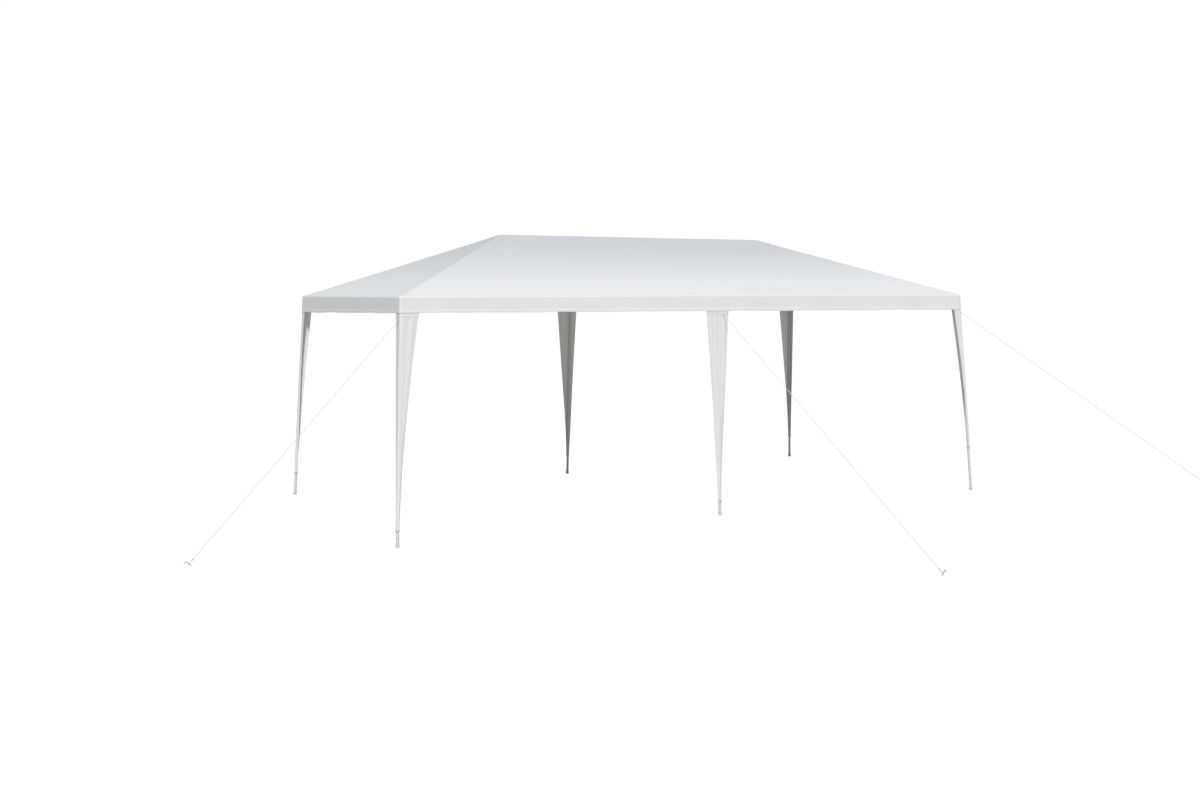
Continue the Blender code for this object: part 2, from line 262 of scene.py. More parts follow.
def turned_between(a, b, part):
    """Directions between a and b: the sum of the two in shares that sweep the angle between them
    evenly, sin((1-t)w)/sin w of a and sin(tw)/sin w of b."""
    a, b = np.broadcast_arrays(unit(a), unit(b))
    part = np.asarray(part, float)[..., None]
    angle = np.arccos(np.clip((a * b).sum(-1, keepdims=True), -1, 1))
    sine = np.where(angle < 1e-6, 1.0, np.sin(angle))
    mixed = (np.sin((1 - part) * angle) * a + np.sin(part * angle) * b) / sine
    return np.where(angle < 1e-6, a, unit(mixed + 1e-12))


def smooth(x, low, high):
    """0 below low, 1 above high, and 3t^2-2t^3 between."""
    t = np.clip((np.asarray(x, float) - low) / (high - low), 0, 1)
    return t * t * (3 - 2 * t)


def put_home(points):
    """From the tent's centre to the row frame: moved back by half the way between the feet."""
    return np.asarray(points, float) + FOOT_Y * Y


def across(direction):
    """Two unit directions square to this one and to each other, by cross products."""
    guide = UP if abs(direction[2]) < 0.9 else Y
    side = unit(np.cross(direction, guide))
    return side, unit(np.cross(side, direction))


def spokes(angle, a, b):
    """Directions at these angles from a towards b: cos angle * a + sin angle * b."""
    angle = np.asarray(angle)[..., None]
    return np.cos(angle) * a + np.sin(angle) * b


def paired(u, v):
    """A map (u, v) of a surface, from two arrays that are broadcast together."""
    return np.stack(np.broadcast_arrays(u, v), axis=-1)


def grid_faces(rows, columns, start):
    """The quads of a grid of points stored row by row: point (r, c) is r*columns + c."""
    r, c = np.meshgrid(np.arange(rows - 1), np.arange(columns - 1), indexing="ij")
    corner = start + r * columns + c
    return np.stack([corner, corner + 1, corner + columns + 1, corner + columns], axis=-1).reshape(-1, 4)


def grid_normals(points):
    """The direction square to a grid: the cross product of its steps down and its steps across."""
    down, over = np.gradient(points, axis=0), np.gradient(points, axis=1)
    return unit(np.cross(down, over))


def turned(start, direction, profile, sides, level_rings=0):
    """A turned surface: ring i is start + direction*at_i + radius_i*(cos a*side + sin a*up), for the
    angle a all the way round. A radius of nothing closes an end. The last level_rings rings slide
    along the direction until they lie level."""
    at, radius = np.array(profile, float).T
    angle = np.linspace(0, TAU, sides + 1)
    side, up = across(direction)
    around = spokes(angle, side, up)
    points = start + at[:, None, None] * direction + radius[:, None, None] * around
    if level_rings:
        slide = radius[-level_rings:, None] * (around[:, 2] / direction[2])
        points[-level_rings:] -= slide[..., None] * direction
    return points, paired(angle * TUBE_R, at[:, None])


def carried(path, facing, radius, sides, lobes=0, lobe_depth=0.0, lay=1.0):
    """A round profile carried along a path: point = path + r*(cos a*side + sin a*up). side is the
    facing direction made square to the path, up is square to both. With lobes, r grows and shrinks by
    lobe_depth*cos(lobes*(a - turn)), where turn winds once per lay of length, as strands do."""
    path = np.asarray(path, float)
    heading = unit(np.gradient(path, axis=0))
    side = unit(facing - (facing * heading).sum(-1, keepdims=True) * heading)
    up = np.cross(heading, side)
    length = np.concatenate([[0], np.cumsum(np.linalg.norm(np.diff(path, axis=0), axis=1))])
    angle = np.linspace(0, TAU, sides + 1)
    turn = TAU * length / lay
    wave = 1 + lobe_depth * np.cos(lobes * (angle - turn[:, None]))
    r = np.broadcast_to(radius, length.shape)[:, None] * wave
    points = path[:, None] + r[..., None] * spokes(angle, side[:, None], up[:, None])
    return points, paired(angle / TAU, length[:, None])


def closed_ends(points, cut):
    """The same grid with a row at each end drawn to its middle, which closes the ends."""
    first, last = (np.broadcast_to(row[:-1].mean(0), points[:1].shape) for row in points[[0, -1]])
    return np.concatenate([first, points, last]), np.concatenate([cut[:1], cut, cut[-1:]])


def placed(name, data):
    """A new object in the scene, at the origin."""
    made = bpy.data.objects.new(name, data)
    bpy.context.scene.collection.objects.link(made)
    return made


def finished(form, mesh, materials, sharp):
    """Writes a form to its mesh, which gets its materials and is shaded smooth up to an angle."""
    form.to_mesh(mesh)
    form.free()
    for made in materials:
        mesh.materials.append(made)
    mesh.shade_smooth()
    mesh.set_sharp_from_angle(angle=math.radians(sharp))
    return mesh


class Form:
    """Collects grids of points into one mesh, each with its map of the surface in metres and a finish."""

    def __init__(self):
        self.points = []
        self.maps = []
        self.edges = []
        self.faces = []
        self.finish = []
        self.count = 0

    def grid(self, points, cut, edge=None, finish=0, flip=False):
        """Adds a grid. cut and edge are two maps (u, v) of it, and flip turns its faces over."""
        rows, columns = points.shape[:2]
        faces = grid_faces(rows, columns, self.count)
        self.points.append(points.reshape(-1, 3))
        self.maps.append(cut.reshape(-1, 2))
        self.edges.append((np.zeros_like(cut) if edge is None else edge).reshape(-1, 2))
        self.faces.append(faces[:, ::-1] if flip else faces)
        self.finish.append(np.full(len(faces), finish))
        self.count += rows * columns

    def cord(self, path, facing, radius, sides, **strands):
        """Adds a round cord along a path, closed at both ends."""
        self.grid(*closed_ends(*carried(path, facing, radius, sides, **strands)))

    def cloth(self, outer, inner, cut, edge, rims):
        """Adds both faces of a cloth, and a strip that closes it along each of these rows or columns."""
        self.grid(outer, cut, edge)
        self.grid(inner, cut, edge, finish=1, flip=True)
        for rim in rims:
            pairs = ((outer, inner), (cut, cut), (edge, edge))
            self.grid(*(np.stack([first[rim], second[rim]]) for first, second in pairs))

    def mesh(self, name, materials=(), recalculate=True, sharp=40):
        """The mesh in the row frame: doubles merged, faces outwards, shaded smooth up to an angle."""
        points = put_home(np.concatenate(self.points))
        faces = np.concatenate(self.faces)
        mesh = bpy.data.meshes.new(name)
        mesh.from_pydata(points, [], faces)
        mesh.polygons.foreach_set("material_index", np.concatenate(self.finish).astype(np.int32))
        for label, held in (("cut", self.maps), ("edge", self.edges)):
            layer = mesh.uv_layers.new(name=label)
            layer.uv.foreach_set("vector", np.concatenate(held)[faces.ravel()].astype(np.float32).ravel())
        form = bmesh.new()
        form.from_mesh(mesh)
        bmesh.ops.remove_doubles(form, verts=form.verts, dist=1e-5)
        bmesh.ops.dissolve_degenerate(form, edges=form.edges, dist=1e-6)
        if recalculate:
            bmesh.ops.recalc_face_normals(form, faces=form.faces)
        mesh = finished(form, mesh, materials, sharp)
        mesh.validate()
        return mesh

    def piece(self, name, materials, slot, *solids, **how):
        """The mesh as a piece, dressed."""
        return dressed(placed(name, self.mesh(name, materials, **how)), slot, *solids)


def dressed(piece, slot, *solids):
    """Hangs the piece on the frame and hides the solids it stands for. The slot is not used."""
    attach(piece, "root")
    if solids:
        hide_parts(*solids)
    return piece


# Shaders: helpers


def feed(socket, value):
    """Links a socket to a value's output, or writes a plain number or colour on it."""
    if isinstance(value, Value):
        value.tree.links.new(value.socket, socket)
    elif isinstance(value, tuple) and socket.type == "RGBA":
        socket.default_value = (*value, 1.0)
    else:
        socket.default_value = value


def feed_all(made, **values):
    """Feeds a node's inputs by name, with _ for a space."""
    for label, value in values.items():
        feed(made.inputs[label.replace("_", " ")], value)


def node(tree, kind, inputs=(), output=0, **settings):
    """Adds a shader node with its settings, then its inputs in order or by name. Gives one output."""
    made = tree.nodes.new("ShaderNode" + kind)
    for label, value in settings.items():
        setattr(made, label, value)
    for label, value in inputs.items() if isinstance(inputs, dict) else enumerate(inputs):
        feed(made.inputs[label], value)
    return Value(tree, made.outputs[output])


class Value:
    """What a shader node puts out. Arithmetic on it adds Math nodes to the same tree."""

    def __init__(self, tree, socket):
        self.tree = tree
        self.socket = socket

    def maths(self, operation, *others):
        """This value and others through one Math node."""
        return node(self.tree, "Math", (self, *others), operation=operation)

    def __add__(self, other):
        return self.maths("ADD", other)

    def __sub__(self, other):
        return self.maths("SUBTRACT", other)

    def __rsub__(self, other):
        return node(self.tree, "Math", (other, self), operation="SUBTRACT")

    def __mul__(self, other):
        return self.maths("MULTIPLY", other)

    def ramp(self, low, high):
        """0 where the value is low, 1 where it is high, smooth between."""
        return node(self.tree, "MapRange", (self, low, high), interpolation_type="SMOOTHSTEP")


def blended(share, a, b):
    """Colour a, turning into b as the share goes from 0 to 1."""
    return node(share.tree, "Mix", {0: share, 6: a, 7: b}, 2, data_type="RGBA")


def noise(place, scale, detail=3.0, roughness=0.5):
    """Fractal noise from 0 to 1 at a place."""
    inputs = {"Vector": place, "Scale": scale, "Detail": detail, "Roughness": roughness}
    return node(place.tree, "TexNoise", inputs, "Fac")


def stretched(place, scale):
    """A place with each of its parts multiplied."""
    return node(place.tree, "Mapping", {"Vector": place, "Scale": scale})


def parts_of(place):
    """The x, y and z of a vector."""
    made = node(place.tree, "SeparateXYZ", (place,)).socket.node
    return [Value(place.tree, output) for output in made.outputs]


def object_place(tree):
    """The point's place on the object, in metres."""
    return node(tree, "TexCoord", output="Object")


def surface_map(tree, label):
    """The point's place on one of the two maps, cut or edge."""
    return node(tree, "UVMap", uv_map=label)


def bump(height, strength, distance, **under):
    """A normal raised by a height. under may give the normal that it is added to."""
    inputs = {"Strength": strength, "Distance": distance, "Height": height, **under}
    return node(height.tree, "Bump", inputs)


def group(name, inputs, outputs):
    """An empty node group: its tree, its inputs as values, and its output node. Each input has its
    plain number, or None for a vector, and each output is a number."""
    tree = bpy.data.node_groups.new(name, "ShaderNodeTree")
    for label, number in inputs.items():
        kind = "NodeSocketVector" if number is None else "NodeSocketFloat"
        made = tree.interface.new_socket(label, in_out="INPUT", socket_type=kind)
        if number is not None:
            made.default_value = number
    for label in outputs:
        tree.interface.new_socket(label, in_out="OUTPUT", socket_type="NodeSocketFloat")
    given = tree.nodes.new("NodeGroupInput").outputs
    return tree, [Value(tree, given[label]) for label in inputs], tree.nodes.new("NodeGroupOutput")


def use(made_group, **values):
    """Places a group beside its values in their tree, and returns its outputs by name."""
    tree = next(value.tree for value in values.values() if isinstance(value, Value))
    made = tree.nodes.new("ShaderNodeGroup")
    made.node_tree = made_group
    feed_all(made, **values)
    return {output.name: Value(tree, output) for output in made.outputs}


def principled(name, **plain):
    """A material, its tree and its Principled BSDF, with plain numbers on the shader's own sockets."""
    made = bpy.data.materials.new(name)
    made.use_nodes = True
    shader = made.node_tree.nodes["Principled BSDF"]
    feed_all(shader, **plain)
    return made, made.node_tree, shader


# Shaders: effects that finishes share, each built once


@functools.cache
def weave_group():
    """Flat tapes woven over and under: height is the product of a wave along and a wave across."""
    inputs = {"Map": None, "Tapes per metre": 500.0}
    tree, (surface, tapes), put = group("woven_tape", inputs, ("Height", "Mask"))
    u, v, _ = parts_of(surface)
    turns = tapes * math.pi
    product = (u * turns).maths("SINE") * (v * turns).maths("SINE")
    feed_all(put, Height=product * 0.5 + 0.5, Mask=product.maths("ABSOLUTE").ramp(0.05, 0.5))
    return tree


@functools.cache
def stitch_group():
    """A row of stitches: a thin band at one distance from an edge, cut into dashes along it."""
    inputs = {"Run": 0.0, "Distance": 0.0, "Row at": 0.006, "Half width": 0.0006, "Stitches per metre": 250.0}
    tree, (run, distance, row, half, stitches), put = group("stitch_row", inputs, ("Mask", "Pucker"))
    off = (distance - row).maths("ABSOLUTE")
    band = 1.0 - off.ramp(half, half * 1.6)
    dash = ((run * stitches).maths("FRACT") - 0.5).maths("ABSOLUTE").ramp(0.40, 0.32)
    feed_all(put, Mask=band * dash, Pucker=1.0 - off.ramp(0.0, half * 5.0))
    return tree


@functools.cache
def rub_group():
    """Wear: noise that passes a threshold only where the given share of wear is high."""
    inputs = {"Place": None, "Share": 0.0, "Scale": 120.0}
    tree, (place, share, scale), put = group("rubbed_paint", inputs, ("Mask",))
    level = noise(place, scale, 5.0, 0.65) + share * 0.42
    feed_all(put, Mask=level.ramp(0.86, 0.93))
    return tree


@functools.cache
def grain_group():
    """Fine moulded or painted grain: two noises of different size added, and broad clouds."""
    tree, (place, scale), put = group("fine_grain", {"Place": None, "Scale": 600.0}, ("Height", "Cloud"))
    height = noise(place, scale, 2.0) * 0.6 + noise(place, scale * 0.22, 2.0) * 0.4
    feed_all(put, Height=height, Cloud=noise(place, 9.0, 4.0, 0.6))
    return tree


@functools.cache
def soil_group():
    """Ground dust: strongest at the ground and gone at the given height, broken up by noise."""
    tree, (place, height), put = group("ground_dust", {"Place": None, "Height": 0.3}, ("Mask",))
    patch = noise(place, 35.0, 5.0, 0.65).ramp(0.35, 0.75)
    feed_all(put, Mask=parts_of(place)[2].ramp(height, 0.0) * patch)
    return tree


# Finishes


def tarpaulin(name, whites, rows, crease_shade_streaks, creases=1.0, seam_shade=0.05):
    """Woven white tarpaulin. Its white turns to whites[1] up the roof, a darker white that is painted shade
    towards the ridge, and to whites[2] on what hangs below the eaves. The third argument gives how many
    stretched dark marks run to the metre and how much they darken, as painted shade of fine creases;
    creases is how deep the broad creases are, and the seam number how much painted shade greys the cloth
    along its seams."""
    made, tree, shader = principled(name)
    place, cut = object_place(tree), surface_map(tree, "cut")
    z = parts_of(place)[2]
    weave = use(weave_group(), Map=cut, Tapes_per_metre=420.0)
    per_metre, darkening = crease_shade_streaks
    # Stretched noise marks that darken the cloth: painted shade of fine creases.
    painted_crease_streak = noise(stretched(cut, (per_metre, 0.06 * per_metre, 1.0)), 1.0, 3.0, 0.55)
    darker = tuple(0.90 * part for part in whites[2])
    # Darker up towards the ridge: painted shade.
    colour = blended(z.ramp(EAVE_Z + 0.02, RIDGE_Z), *whites[:2])
    colour = blended(z.ramp(EAVE_Z + 0.004, EAVE_Z - 0.010), colour, whites[2])
    colour = blended(painted_crease_streak.ramp(0.35, 0.75) * darkening, colour, darker)
    colour = blended(noise(place, 1.3, 3.0).ramp(0.4, 0.8) * 0.10, colour, darker)
    colour = blended(weave["Mask"] * 0.10, colour, TAPE_WHITE)
    height = weave["Height"] * 0.10
    thread, sewn = 0.0, 0.0
    for label, run, row in rows:
        parts = parts_of(surface_map(tree, label))
        stitch = use(stitch_group(), Run=parts[run], Distance=parts[1 - run], Row_at=row)
        thread = stitch["Mask"].maths("MAXIMUM", thread)
        sewn = stitch["Pucker"].maths("MAXIMUM", sewn)
        height = height - stitch["Pucker"] * 0.5 + stitch["Mask"] * 0.8
    # Greyed along the stitch rows: painted shade of the puckered seams.
    colour = blended(sewn * seam_shade, colour, PAINTED_SEAM_SHADE_GREY)
    colour = blended(thread * 0.45, colour, THREAD_GREY)
    dust = use(soil_group(), Place=place, Height=0.35)
    colour = blended(dust["Mask"] * 0.25, colour, CLOTH_DUST)
    broad = bump(noise(stretched(cut, (14.0, 3.0, 1.0)), 1.0, 4.0, 0.6), 0.25 * creases, 0.004)
    normal = bump(height, 0.35, 0.0006, Normal=broad)
    feed_all(shader, Base_Color=colour, Roughness=weave["Mask"] * -0.06 + 0.50, Normal=normal)
    return made


def painted_tube():
    """Light grey powder coat with a faint orange peel. It is rubbed through to steel where a joint's
    edge or a sleeve's mouth chafes, and dusty near the ground."""
    made, tree, shader = principled("grey_powder_coat", Coat_Weight=0.15, Coat_Roughness=0.25)
    place = object_place(tree)
    grain = use(grain_group(), Place=place, Scale=480.0)
    near_edge = parts_of(surface_map(tree, "edge"))[1].maths("ABSOLUTE").ramp(0.010, 0.0)
    rub = use(rub_group(), Place=place, Share=near_edge, Scale=260.0)["Mask"]
    dust = use(soil_group(), Place=place, Height=0.45)["Mask"]
    colour = blended(grain["Cloud"] * 0.3, *PAINT)
    colour = blended(dust * 0.35, colour, PAINT_DUST)
    colour = blended(rub, colour, BARE_STEEL)
    normal = bump(grain["Height"] - rub * 1.4, 0.20, 0.0003)
    rough = grain["Cloud"] * 0.16 + 0.27
    feed_all(shader, Base_Color=colour, Metallic=rub * 0.8, Roughness=rough, Normal=normal)
    return made


def moulding(name, colours, roughness, dusty):
    """Moulded plastic: fine spark-eroded grain, clouds of another colour and gloss, scuffs, and dust
    up to the height dusty."""
    made, tree, shader = principled(name)
    place = object_place(tree)
    grain = use(grain_group(), Place=place, Scale=900.0)
    rub = use(rub_group(), Place=place, Share=0.36, Scale=90.0)["Mask"]
    dust = use(soil_group(), Place=place, Height=dusty)["Mask"]
    base, cloudy, scuffed = colours
    colour = blended(grain["Cloud"], base, cloudy)
    colour = blended(rub * 0.6, colour, scuffed)
    colour = blended(dust * 0.5, colour, PLASTIC_DUST)
    rough = grain["Cloud"] * 0.2 + (roughness - 0.1)
    feed_all(shader, Base_Color=colour, Roughness=rough, Normal=bump(grain["Height"], 0.30, 0.0003))
    return made


def laid_rope():
    """White polypropylene rope: fine fibres that follow the strands, painted shade darkening it between the
    strands, and dust towards the peg.
    """
    made, tree, shader = principled("white_rope", Sheen_Weight=0.2, Sheen_Roughness=0.4)
    around, along, _ = parts_of(surface_map(tree, "cut"))
    wound = around - along * (1 / ROPE_LAY)
    fibre = (wound * (TAU * 27)).maths("SINE")
    painted_groove_shade = (wound * (TAU * STRANDS)).maths("COSINE").ramp(0.1, -0.9)
    dust = use(soil_group(), Place=object_place(tree), Height=0.5)["Mask"]
    # Darker between the strands: painted shade.
    colour = blended(painted_groove_shade * 0.5, *ROPE_WHITE_AND_PAINTED_GROOVE_SHADE)
    colour = blended(dust * 0.5, colour, ROPE_DUST)
    feed_all(shader, Base_Color=colour, Roughness=painted_groove_shade * 0.15 + 0.65, Normal=bump(fibre, 0.35, 0.00015))
    return made


def zinc():
    """Zinc-plated steel: grey with faint spangle, dull with dust at the ground."""
    made, tree, shader = principled("zinc_plate")
    place = object_place(tree)
    spangle = node(tree, "TexVoronoi", {"Vector": place, "Scale": 380.0}, "Distance")
    grain = use(grain_group(), Place=place, Scale=700.0)
    dust = use(soil_group(), Place=place, Height=0.04)["Mask"]
    colour = blended(dust * 0.7, blended(spangle, *ZINC), ZINC_DUST)
    feed_all(shader, Base_Color=colour, Metallic=dust * -0.8 + 1.0)
    feed_all(shader, Roughness=grain["Cloud"] * 0.3 + 0.24, Normal=bump(grain["Height"], 0.2, 0.0002))
    return made


def braided_tie():
    """Grey elastic: a close braid read from its own map."""
    made, tree, shader = principled("grey_elastic")
    surface = stretched(surface_map(tree, "cut"), (0.012, 1.0, 1.0))
    braid = use(weave_group(), Map=surface, Tapes_per_metre=900.0)
    colour = blended(braid["Mask"], *ELASTIC)
    rough = braid["Mask"] * -0.15 + 0.85
    feed_all(shader, Base_Color=colour, Roughness=rough, Normal=bump(braid["Height"], 0.5, 0.0002))
    return made


# The sewn cover


def side_length(side):
    """The length at the eaves of a side, by its place in SIDES."""
    return np.where(side % 2 == 0, 2 * EAVE_X, 2 * EAVE_Y)


def side_directions(out):
    """A side's outward direction, and the direction square to its roof slope: sin pitch of the outward
    direction and cos pitch of straight up."""
    outward = np.array([*out, 0.0])
    pitch = PITCH if out[1] else END_PITCH
    return outward, outward * math.sin(pitch) + UP * math.cos(pitch)


def cover_stations():
    """Stations round the eaves, side by side with a rounded corner between: the eave and the ridge
    point of each, its outward direction, its roof direction, the place along its bay (0 to 1), its
    side, and the distance along that side. Round a corner the points stay and the directions turn."""
    stretches = []
    for i, (a, b, out, count, bays) in enumerate(SIDES):
        part = np.concatenate([np.linspace(0, 1, count + 1), np.ones(CORNER_STEPS - 1)])
        turn = np.concatenate([np.zeros(count + 1), np.arange(1, CORNER_STEPS) / CORNER_STEPS])
        eaves = np.array([(x * EAVE_X, y * EAVE_Y, EAVE_Z) for x, y in (a, b)])
        ridges = np.array([(x * RIDGE_X, 0.0, RIDGE_Z) for x, _ in (a, b)])
        outward, roof = side_directions(out)
        next_outward, next_roof = side_directions(SIDES[(i + 1) % 4][2])
        stretch = {
            "eave": eaves[0] + part[:, None] * (eaves[1] - eaves[0]),
            "ridge": ridges[0] + part[:, None] * (ridges[1] - ridges[0]),
            "out": turned_between(outward, next_outward, turn),
            "roof": turned_between(roof, next_roof, turn),
            "bay": (part * bays) % 1.0,
            "side": np.full(len(part), i),
            "along": part * side_length(i) + turn * CORNER_RUN,
        }
        stretches.append(stretch)
    stretches.append({key: value[:1] for key, value in stretches[0].items()})
    return {key: np.concatenate([stretch[key] for stretch in stretches]) for key in stretches[0]}


def bay_waves(at, lean_by, seed):
    """Faint waves of cloth: a sum of sines along the side, each as high as it is long. A seeded draw
    picks their phases, and how much they lean as they go down."""
    draw = np.random.default_rng(seed)
    wave = 0.0
    for length in WAVE_LENGTHS:
        phase = draw.uniform(0, TAU, 4)[at["side"]]
        lean = draw.uniform(-0.8, 0.8)
        wave = wave + length * np.sin(TAU * at["along"] / length + phase + lean * lean_by)
    return wave / WAVE_PEAK


def hem_level(at):
    """How much higher the hem hangs than planned: a straight line from corner to corner."""
    start = np.array(list(HEM_RISE.values()))
    part = np.clip(at["along"] / side_length(at["side"]), 0, 1)
    return start[at["side"]] * (1 - part) + np.roll(start, -1)[at["side"]] * part


def cover_surface(depth):
    """The cover's face at one depth inside its outer skin. Every point is a frame point plus its
    distance times a direction: from the ridge the direction rolls from straight up to the roof's own,
    stays while the frame point slides down to the eave, rolls over the eave tube to the side's, and
    stays while the point slides down to the hem. Sag and waves change the distance."""
    at = cover_stations()
    eave, ridge, out, roof, bay = (at[key] for key in ("eave", "ridge", "out", "roof", "bay"))
    splay = np.linalg.norm(out[:, :2] * (SPLAY_X, SPLAY_Y), axis=1)
    side_face = unit(out + splay[:, None] * UP)
    drop = EAVE_Z - HEM_Z
    slope = math.hypot(RISE, EAVE_Y)
    on_long = at["side"] % 2 == 0
    bay_length = np.where(on_long, EAVE_X, 2 * EAVE_Y)
    calm = smooth(np.minimum(bay, 1 - bay) * bay_length, *CALM_REACH)
    across_bay = 1 - np.abs(2 * bay - 1) ** 4

    rows = []
    for part in np.linspace(0, 1, RIDGE_ROWS):
        rows.append((ridge, turned_between(UP, roof, part), 0.0, drop + EAVE_ROLL + slope))
    for t in 1 - (1 - np.linspace(0, 1, SLOPE_ROWS)[1:]) ** 1.15:
        down = math.sin(math.pi * t**0.9) ** 0.8
        lift = -SAG * across_bay * down - HUG * (1 - abs(2 * t - 1) ** 8)
        lift = lift + ROOF_WAVE * bay_waves(at, 2.5 * t, ROOF_SEED) * down * calm
        rows.append((ridge + t * (eave - ridge), roof, lift, drop + EAVE_ROLL + (1 - t) * slope))
    for part in np.linspace(0, 1, EAVE_ROWS)[1:]:
        rows.append((eave, turned_between(roof, side_face, part), 0.0, drop + EAVE_ROLL * (1 - part)))
    fall = eave * (SPLAY_X / EAVE_X, SPLAY_Y / EAVE_Y, 0.0) - UP
    rise = HEM_WAVE * bay_waves(at, 0.3, HEM_SEED) * calm + hem_level(at)
    for height in (*np.linspace(drop, HEM_FOLD + 0.012, VALANCE_ROWS)[1:], *HEM_LEVELS):
        share = 1 - height / drop
        base = eave + (drop - height) * fall + share * rise[:, None] * UP
        lift = VALANCE_WAVE * share**1.2 * bay_waves(at, 1.2 * share, VALANCE_SEED) * calm
        lift = lift - VALANCE_IN * share
        folded = HEM_THICK * (0 < height <= HEM_FOLD) * (1 if depth == 0 else -1)
        rows.append((base, side_face, lift + folded, height))

    base, face = (np.array([row[i] for row in rows]) for i in (0, 1))
    lift, height = (np.array([row[i] + np.zeros(len(eave)) for row in rows]) for i in (2, 3))
    points = base + (SKIN - depth + lift)[..., None] * face
    from_corner = np.abs(np.minimum(at["along"], side_length(at["side"]) - at["along"]))
    level = np.clip((base[..., 2] - EAVE_Z) / RISE, 0, 1)
    hip_pull = np.where(on_long, 1 - RIDGE_X / EAVE_X, 1.0)
    return points, paired(at["along"], height), paired(from_corner * (1 - level * hip_pull), height)


def sewn_cover(finish, inner_face_painted_shade):
    """The whole cover in one sheet: its outer and its inner face, closed along the hem."""
    outer, cut, edge = cover_surface(0.0)
    inner, _, _ = cover_surface(CLOTH)
    form = Form()
    form.cloth(outer, inner, cut, edge, rims=[-1])
    sides = ("front", "back", "left", "right")
    panels = [panel + side for panel in ("roof_panel_", "valance_") for side in sides]
    piece = form.piece("sewn_cover", [finish, inner_face_painted_shade], "cover", *panels, recalculate=False, sharp=50)


# Leg covers


def leg_facing(name):
    """A leg's level direction out of the tent, and the one to the right of it, seen from outside."""
    out = unit(np.array([*LEGS[name], 0.0]))
    return out, np.cross(UP, out)


def leg_axis(name, z):
    """The axis of a leg at heights z: its eave corner moved out by the splay times the drop."""
    x, y = LEGS[name]
    down = EAVE_Z - z
    return np.stack([x * (EAVE_X + SPLAY_X * down), y * (EAVE_Y + SPLAY_Y * down), z], axis=-1)


def leg_cover_middle(name, share, z, s, a, on_long):
    """Points of a leg cover's middle face. Each level is a line of cloth of true width: its heading
    turns with the distance a from the leg's outer side, sharply round the pole at a corner, and more
    and more along the whole line towards the tie; faint wrinkles add a few sines to the heading. The
    points are the running sum of the headings."""
    out, right = leg_facing(name)
    curl = share**CURL
    turn = np.where(on_long, curl, share ** LEG_COVERS[name].get("curl", CURL))
    corner = np.clip(a / COVER_OUT, -math.pi / 4, math.pi / 4) if LEGS[name][0] else 0.0
    heading = (1 - turn) * corner + turn * a / TIED_R
    draw = np.random.default_rng(sum(map(ord, name)))
    calm = smooth(share, 0.008, 0.035) * (1 - 0.6 * smooth(share, 0.85, 1.0))
    for turns, size in WRINKLES:
        phase, drift, bend = draw.uniform(0, TAU), draw.uniform(-1.6, 1.6), draw.uniform(0, TAU)
        swing = 0.7 + 0.3 * np.sin(TAU * 1.3 * share + bend)
        heading = heading + size * calm * swing * np.sin(turns * math.pi * s + phase + drift * share)
    mean = (heading[:, 1:] + heading[:, :-1]) / 2
    steps = np.stack([np.cos(mean), np.sin(mean)]) * np.diff(a, axis=1)
    sums = np.cumsum(np.pad(steps, ((0, 0), (0, 0), (1, 0))), axis=-1)
    run, rise = sums - sums[..., [s.shape[1] // 2]]
    gap = COVER_OUT + (TIED_R - COVER_OUT) * curl + 0.0025 * np.sin(math.pi * share) ** 2
    return leg_axis(name, z) + (gap - rise)[..., None] * out + run[..., None] * right


def leg_cover(name, finish, inner_face_painted_shade):
    """A tapered leg cover. Its reach to a side is end + (top - end) * (1 - share)^taper, where share
    goes from 0 at the top to 1 at the foot. Its two faces lie half the cloth's thickness off the
    middle face, and it is thicker along its hems."""
    spec = LEG_COVERS[name]
    x, y = LEGS[name]
    share = np.linspace(0, 1, LEG_COVER_ROWS)[:, None] ** 0.97
    z = COVER_TOP_Z + share * (spec["foot_z"] - COVER_TOP_Z)
    s = np.linspace(-1, 1, LEG_COVER_COLUMNS)[None, :]
    s = np.sign(s) * (1 - (1 - np.abs(s)) ** 1.25)
    on_long = (s > 0) == (x * y >= 0)
    widths = {}
    for side, end in (("long", TIED_WIDTH), ("short", spec.get("end", TIED_WIDTH))):
        top, taper = spec[side]
        widths[side] = end + (top - end) * (1 - share) ** taper
    reach = np.where(on_long, widths["long"], widths["short"])
    a = s * reach
    to_edge = reach - np.abs(a)
    middle = leg_cover_middle(name, share, z, s, a, on_long)
    cloth = LEG_CLOTH + LEG_HEM * smooth(to_edge, LEG_FOLD + 0.0005, LEG_FOLD - 0.0005)
    cloth = (cloth + LEG_HEM * (share < LEG_FOLD_SHARE)) * smooth(to_edge, -0.0008, 0.0008)
    half = grid_normals(middle) * cloth[..., None] / 2
    cut, edge = paired(a, COVER_TOP_Z - z), paired(to_edge, COVER_TOP_Z - z)
    form = Form()
    form.cloth(middle + half, middle - half, cut, edge, rims=(0, -1, np.s_[:, 0], np.s_[:, -1]))
    piece = form.piece("leg_cloth_" + name, [finish, inner_face_painted_shade], "cover", "leg_cover_" + name, sharp=60)
    around = (widths["long"] + widths["short"])[:, 0]
    area = float(((around[1:] + around[:-1]) / 2 * -np.diff(z[:, 0])).sum())


